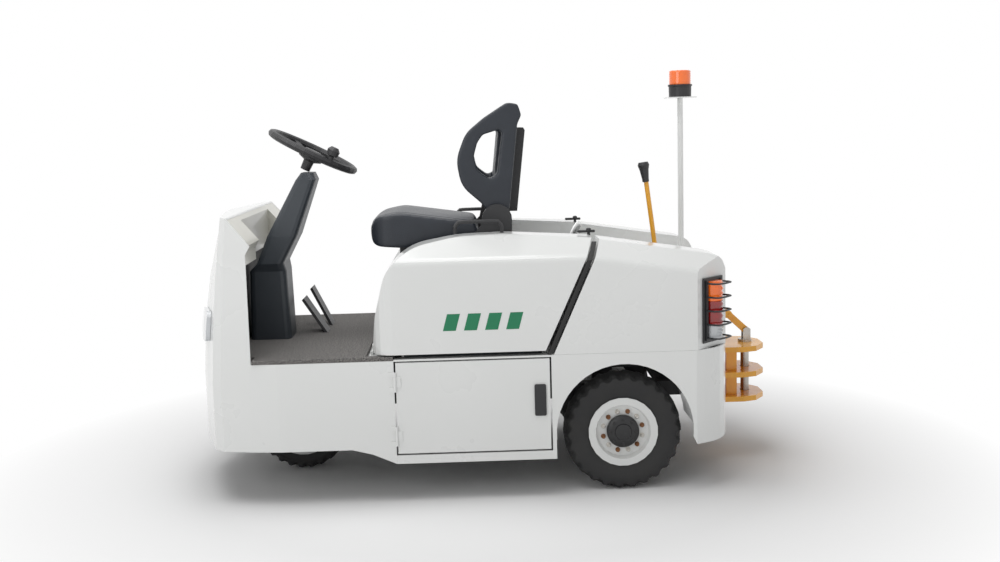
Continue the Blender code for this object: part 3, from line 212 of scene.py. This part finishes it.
white_paint = finish("white_paint", (0.80, 0.81, 0.80), (0.72, 0.73, 0.71),
                     0.28, 0.1, (2.5, 0.25), (60, 0.0002), 0, 0.5)
cream_paint = finish("cream_paint", (0.72, 0.71, 0.64), (0.62, 0.61, 0.55),
                     0.35, 0.1, (6, 0.3), (90, 0.0002), 0, 0.3)
moulded_black = finish("moulded_black", (0.018, 0.018, 0.020), (0.035, 0.035, 0.037),
                       0.45, 0.15, (9, 0.5), (700, 0.0004))
column_plastic = finish("column_plastic", (0.032, 0.040, 0.050), (0.050, 0.058, 0.068),
                        0.42, 0.12, (7, 0.5), (900, 0.0004))
board_black = finish("board_black", (0.010, 0.010, 0.010), (0.022, 0.022, 0.022),
                     0.65, 0.15, (8, 0.5), (200, 0.0004))
frame_paint = finish("frame_paint", (0.022, 0.022, 0.024), (0.050, 0.046, 0.042),
                     0.5, 0.2, (9, 0.6), (160, 0.0004))
bare_steel = finish("bare_steel", (0.48, 0.46, 0.43), (0.30, 0.27, 0.24),
                    0.35, 0.25, (14, 0.7), (240, 0.0002), 1.0)
yellow_paint = finish("yellow_paint", (0.86, 0.40, 0.015), (0.62, 0.26, 0.012),
                      0.32, 0.15, (12, 0.4), (120, 0.0003), 0, 0.4)
seat_vinyl = finish("seat_vinyl", (0.012, 0.016, 0.024), (0.024, 0.030, 0.040),
                    0.38, 0.15, (10, 0.5), (420, 0.0008))
tyre_rubber = finish("tyre_rubber", (0.014, 0.014, 0.015), (0.034, 0.033, 0.031),
                     0.68, 0.2, (10, 0.6), (300, 0.0005))
amber_lens = finish("amber_lens", (0.90, 0.16, 0.010), (0.70, 0.08, 0.006),
                    0.12, 0.05, (20, 0.3), (60, 0.0002), 0, 0.8, 0.15)
red_lens = finish("red_lens", (0.36, 0.012, 0.012), (0.22, 0.006, 0.008),
                  0.12, 0.05, (20, 0.3), (60, 0.0002), 0, 0.8)
clear_lens = finish("clear_lens", (0.62, 0.64, 0.66), (0.45, 0.47, 0.49),
                    0.1, 0.05, (26, 0.5), (80, 0.0002), 0, 0.8)
green_film = finish("green_film", (0.004, 0.20, 0.085), (0.006, 0.16, 0.070),
                    0.35, 0.1, (9, 0.3), (80, 0.0001))
loop_mat = finish("loop_mat", (0.020, 0.020, 0.021), (0.42, 0.40, 0.38),
                  0.9, 0.1, (240, 0.95), (420, 0.0040))
zinc = finish("zinc", (0.62, 0.60, 0.56), (0.45, 0.43, 0.40), 0.3, 0.2, (40, 0.5), (200, 0.0001), 1.0)

BY_SLOT = {
    "white": white_paint, "cream": cream_paint, "black": moulded_black, "grey": column_plastic,
    "lining": board_black, "carpet": loop_mat, "steel": frame_paint, "bare": bare_steel,
    "yellow": yellow_paint, "vinyl": seat_vinyl, "rubber": tyre_rubber, "amber": amber_lens,
    "red": red_lens, "clear": clear_lens,
}
EDGE_ROUND = {"front_body": 0.0025, "seat_hood": 0.0025, "rear_cover": 0.0025, "rear_body": 0.002}
SMALL_EDGE_ROUND = 0.0012  # for every other node
node_slots = {part["node"]: part["material_slot"] for part in frame["record"]["subparts"]}
for node_name, part in nodes.items():
    part.data.materials.clear()
    part.data.materials.append(BY_SLOT[node_slots[node_name]])
    rounding = part.modifiers.new("rounded_edges", "BEVEL")
    rounding.width = EDGE_ROUND.get(node_name, SMALL_EDGE_ROUND)
    rounding.segments = 2
    rounding.limit_method = "ANGLE"
    rounding.angle_limit = math.radians(35)
    rounding.use_clamp_overlap = True
    part.data.shade_smooth()
    part.data.set_sharp_from_angle(angle=math.radians(38))


def piece(name, body, look, vertices, faces, rounding=0.0, smooth=38):
    """A closed mesh piece that rides on a body."""
    mesh = bpy.data.meshes.new(name)
    mesh.from_pydata([tuple(v) for v in vertices], [], faces)
    edit = bmesh.new()
    edit.from_mesh(mesh)
    bmesh.ops.recalc_face_normals(edit, faces=edit.faces)
    edit.to_mesh(mesh)
    edit.free()
    mesh.materials.append(look)
    mesh.shade_smooth()
    mesh.set_sharp_from_angle(angle=math.radians(smooth))
    made = bpy.data.objects.new(name, mesh)
    scene.collection.objects.link(made)
    if rounding:
        bevel = made.modifiers.new("rounded_edges", "BEVEL")
        bevel.width = rounding
        bevel.segments = 2
    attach(made, body)
    return made


def skin(rings, close=False):
    """Vertices and faces of a skin over closed rings of points, with flat ends unless close is set."""
    count = len(rings[0])
    vertices = [point for ring in rings for point in ring]
    faces = []
    for row in range(len(rings) - (0 if close else 1)):
        first, second = row * count, (row + 1) % len(rings) * count
        faces += [(first + i, first + (i + 1) % count, second + (i + 1) % count, second + i)
                  for i in range(count)]
    if not close:
        faces += [tuple(range(count)), tuple(range(len(vertices) - count, len(vertices)))]
    return vertices, faces


def slab(low, high):
    corners = [(low[0], low[1]), (high[0], low[1]), (high[0], high[1]), (low[0], high[1])]
    return skin([[(x, y, z) for x, y in corners] for z in (low[2], high[2])])


def disc(centre, axis, profile, steps=32):
    """A turned piece from (radius, distance along axis)."""
    axis = Vector(axis).normalized()
    side = axis.orthogonal().normalized()
    other = axis.cross(side)
    return skin([[Vector(centre) + axis * along + (side * math.cos(a) + other * math.sin(a)) * radius
                  for a in (2 * math.pi * k / steps for k in range(steps))] for radius, along in profile])


def together(*shapes):
    vertices, faces = [], []
    for some, these in shapes:
        faces += [tuple(i + len(vertices) for i in face) for face in these]
        vertices += some
    return vertices, faces


# Wheels -------------------------------------------------------------------------------------------
# Rubber tyres, moulded with lugs across both shoulders, on white pressed-steel rims. Each
# rear wheel is held by a ring of nuts, zinc and rusty in turn, round a black hub with socket screws.
LUGS = 26
LUG_DEPTH = 0.009
BEAD_RADIUS = 0.1025
REAR_NUTS = 12
NUT_RING_RADIUS = 0.071
HUB_SCREWS = 8
HUB_SCREW_RING_RADIUS = 0.046
RIM_FACE = 0.030  # out from the wheel's centre plane
rusty_steel = finish("rusty_steel", (0.20, 0.085, 0.035), (0.34, 0.18, 0.09),
                     0.6, 0.2, (60, 0.8), (400, 0.0003), 0.5)
hub_black = finish("hub_black", (0.012, 0.012, 0.013), (0.030, 0.030, 0.032),
                   0.4, 0.15, (30, 0.5), (300, 0.0003))


def lugged_tyre(name, node, body, centre, radius, width):
    steps = LUGS * 4
    half, bead = width / 2, BEAD_RADIUS
    rows = ((bead, -0.044), (bead + 0.022, -0.047), (0.150, -half + 0.001), (radius - 0.030, -half),
            (radius - 0.014, -half + 0.002), (radius - 0.003, -half + 0.014),
            (radius, -0.024), (radius, -0.008))
    rows += tuple((r, -y) for r, y in reversed(rows))
    rings = []
    for k in range(steps):
        turn = 2 * math.pi * k / steps
        groove = k % 4 in (0, 1)
        ring = []
        for row, (r, y) in enumerate(rows):
            on_tread = radius - 0.020 < r and abs(y) > 0.012
            depth = LUG_DEPTH * (1.0 if abs(y) > 0.02 else 0.6) if groove and on_tread else 0.0
            reach = r - depth
            ring.append((centre[0] + reach * math.sin(turn), centre[1] + y,
                         centre[2] - reach * math.cos(turn)))
        rings.append(ring)
    made = piece(name, body, tyre_rubber, *skin(rings, close=True), smooth=30)
    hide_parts(node)


for side_name, side in (("left", -1), ("right", 1)):
    low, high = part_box("rear_tyre_" + side_name)
    hub = ((low[0] + high[0]) / 2, (low[1] + high[1]) / 2, (low[2] + high[2]) / 2)
    body = "wheel_rear_" + side_name
    lugged_tyre("lugged_tyre_" + side_name, "rear_tyre_" + side_name, body, hub, hub[2], high[1] - low[1])
    for k in range(REAR_NUTS):
        turn = 2 * math.pi * (k + 0.5) / REAR_NUTS
        spot = Vector((hub[0] + NUT_RING_RADIUS * math.cos(turn), hub[1] + side * (RIM_FACE + 0.0001),
                       hub[2] + NUT_RING_RADIUS * math.sin(turn)))
        look = zinc if k % 2 else rusty_steel
        shapes = [disc(spot, (0, side, 0), [(0.0085, 0), (0.0085, 0.002)], 20)]
        shapes.append(disc(spot, (0, side, 0), [(0.0078, 0.002), (0.0078, 0.010), (0.006, 0.0115)], 6))
        shapes.append(disc(spot, (0, side, 0), [(0.0038, 0.011), (0.0038, 0.016), (0.003, 0.017)], 12))
        piece("wheel_nut_%s_%d" % (side_name, k), body, look, *together(*shapes))
    cap = disc((hub[0], hub[1] + side * (RIM_FACE + 0.0005), hub[2]), (0, side, 0),
               [(0.0572, 0), (0.0572, 0.015), (0.054, 0.0185), (0.040, 0.0230), (0.030, 0.0235), (0.028, 0.027),
                (0.010, 0.029)], 40)
    screws = [disc((hub[0] + HUB_SCREW_RING_RADIUS * math.cos(a), hub[1] + side * (RIM_FACE + 0.020),
                    hub[2] + HUB_SCREW_RING_RADIUS * math.sin(a)),
                   (0, side, 0), [(0.0052, 0), (0.0052, 0.0045), (0.0040, 0.0055)], 12)
              for a in (2 * math.pi * k / HUB_SCREWS for k in range(HUB_SCREWS))]
    piece("hub_cap_" + side_name, body, hub_black, *together(cap, *screws))
low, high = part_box("front_tyre")
lugged_tyre("lugged_tyre_front", "front_tyre", "wheel_front",
            ((low[0] + high[0]) / 2, 0, (low[2] + high[2]) / 2),
            (high[2] - low[2]) / 2, high[1] - low[1])

# Lamps --------------------------------------------------------------------------------------------
# Tail lamps in three stacked lenses, amber over red over clear, on a black backing behind bars.
# Each is fixed to a slanted corner of the rear cover.
LAMP_FACE = ((0.728, 0.500), (0.850, 0.375))  # x and distance out from the centre plane
LAMP_HEIGHTS = (0.522, 0.748)
LENS_MARGIN = 0.012
for side_name, side in (("left", -1), ("right", 1)):
    one, two = Vector(LAMP_FACE[0]), Vector(LAMP_FACE[1])
    run = (two - one).normalized()
    out = Vector((-run.y, run.x))
    middle = (one + two) / 2
    lamp_low, lamp_high = LAMP_HEIGHTS

    def lamp_point(along, away):
        spot = middle + run * along + out * away
        return spot.x, side * spot.y

    def lamp_block(along, away, heights):
        corners = [lamp_point(a, o) for a, o in ((along[0], away[0]), (along[1], away[0]),
                                                 (along[1], away[1]), (along[0], away[1]))]
        return skin([[(x, y, z) for x, y in corners] for z in heights])

    backing = piece("lamp_backing_" + side_name, "chassis", moulded_black,
                    *lamp_block((-0.060, 0.060), (0.0003, 0.0068), (lamp_low, lamp_high)), 0.0015)
    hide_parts("tail_lamp_" + side_name)
    for label, look, share in (("amber", amber_lens, (0.66, 1.0)), ("red", red_lens, (0.24, 0.655)),
                               ("clear", clear_lens, (0.0, 0.235))):
        base, height = lamp_low + LENS_MARGIN, lamp_high - lamp_low - 2 * LENS_MARGIN
        rings = []
        for k in range(9):
            z = base + height * (share[0] + (share[1] - share[0]) * k / 8)
            puff = 0.030 + 0.006 * (k % 2)
            rings.append([(*lamp_point(0.030 * math.cos(a), 0.007 + puff * math.sin(a)), z)
                          for a in (math.pi * j / 10 for j in range(11))])
        piece("lamp_lens_%s_%s" % (label, side_name), "chassis", look, *skin(rings), smooth=60)
# The beacon lens is moulded with fine level ribs round its outside.
BEACON_RIBS = 12
low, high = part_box("beacon_lens")
spot = ((low[0] + high[0]) / 2, (low[1] + high[1]) / 2, low[2])
rise = high[2] - low[2]
ribs = [(0.041 + 0.0012 * (k % 2), rise * k / BEACON_RIBS) for k in range(BEACON_RIBS)] + [(0.038, rise), (0.0, rise)]
lens = piece("ribbed_beacon", "chassis", amber_lens,
             *disc(spot, (0, 0, 1), [(r or 0.001, h) for r, h in ribs], 48), smooth=60)
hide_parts("beacon_lens")

# Seat ---------------------------------------------------------------------------------------------
# Foam cushion and winged backrest, both covered in dark vinyl that is drawn tight, so that every
# corner is soft. The cushion is crowned and has a sewn groove along either side of its top.
SEAM_INSET = 0.040
SEAM_DEPTH = 0.0035
SEAM_HALF_WIDTH = 0.008


def upholstered(name, node, body, voxel, rounds, crown):
    made = bpy.data.objects.new(name, nodes[node].data.copy())
    scene.collection.objects.link(made)
    for kind, settings in (("REMESH", {"mode": "VOXEL", "voxel_size": voxel}),
                           ("SMOOTH", {"factor": 0.6, "iterations": rounds})):
        step = made.modifiers.new(kind.lower(), kind)
        for key, value in settings.items():
            setattr(step, key, value)
    graph = bpy.context.evaluated_depsgraph_get()
    mesh = bpy.data.meshes.new_from_object(made.evaluated_get(graph))
    made.modifiers.clear()
    made.data = mesh
    low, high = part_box(node)
    half = (high[1] - low[1]) / 2
    for point in mesh.vertices:
        if crown and point.normal.z > 0.5:
            across = 1 - (point.co.y / half) ** 2
            point.co.z += crown * across
        if crown and point.normal.z > 0.3:
            edge = abs(abs(point.co.y) - (half - SEAM_INSET))
            point.co.z -= SEAM_DEPTH * max(0.0, 1 - edge / SEAM_HALF_WIDTH)
    mesh.materials.clear()
    mesh.materials.append(seat_vinyl)
    mesh.shade_smooth()
    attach(made, body)
    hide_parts(node)


upholstered("padded_cushion", "seat_cushion", "hood", 0.006, 10, 0.006)
upholstered("padded_backrest", "seat_backrest", "backrest", 0.005, 6, 0.0)

# Hood seam ----------------------------------------------------------------------------------------
# A black rubber strip fills the slanted gap between the hood and the rear cover, and a rubber
# strap latch with a cross handle holds the hood down on each side.
foot, top = Vector((0.2085, 0.506)), Vector((0.3735, 0.880))  # x, z of the strip's ends
SIDE_TOP = 0.838  # where the sides turn in
FLAT_TOP = 0.905
TURN_IN = 0.125
STRIP_OUT = 0.497
LATCH_SIDE = 0.2825  # out from the centre plane
for side_name, side in (("left", -1), ("right", 1)):
    rings = []
    for k in range(15):
        spot = foot + (top - foot) * k / 14
        lean = max(0.0, spot.y - SIDE_TOP) / (FLAT_TOP - SIDE_TOP) * TURN_IN
        y = STRIP_OUT - lean
        rings.append([(spot.x + dx, side * (y + dy), spot.y) for dx, dy in
                      ((0.004, -0.010), (0.020, -0.010), (0.020, 0.0035), (0.012, 0.0055), (0.004, 0.0035))])
    piece("seam_strip_" + side_name, "chassis", board_black, *skin(rings))
    bar = slab((0.340, side * LATCH_SIDE - 0.006, 0.9005), (0.402, side * LATCH_SIDE + 0.006, 0.9095))
    stem = disc((0.380, side * LATCH_SIDE, 0.890), (0, 0, 1),
                [(0.006, 0), (0.005, 0.012), (0.009, 0.014), (0.009, 0.024), (0.005, 0.027)], 16)
    piece("strap_latch_" + side_name, "chassis", moulded_black, *together(bar, stem), 0.002)

# Livery -------------------------------------------------------------------------------------------
# Green adhesive film on each side of the hood. It is cut as four plain slanted bars, with no
# lettering, and stuck to the paint.
BARS = 4
BAR_PITCH = 0.072
BAR_HEIGHTS = (0.597, 0.655)
BAR_START = -0.145
FILM_FACES = (0.4985, 0.5006)  # back and front, out from the centre plane
for side_name, side in (("left", -1), ("right", 1)):
    for k in range(BARS):
        x0 = BAR_START + BAR_PITCH * k
        bar_low, bar_high = BAR_HEIGHTS
        outline = [(x0, bar_low), (x0 + 0.044, bar_low), (x0 + 0.060, bar_high), (x0 + 0.016, bar_high)]
        rings = [[(x, side * y, z) for x, z in outline] for y in FILM_FACES]
        piece("green_bar_%s_%d" % (side_name, k), "hood", green_film, *skin(rings))
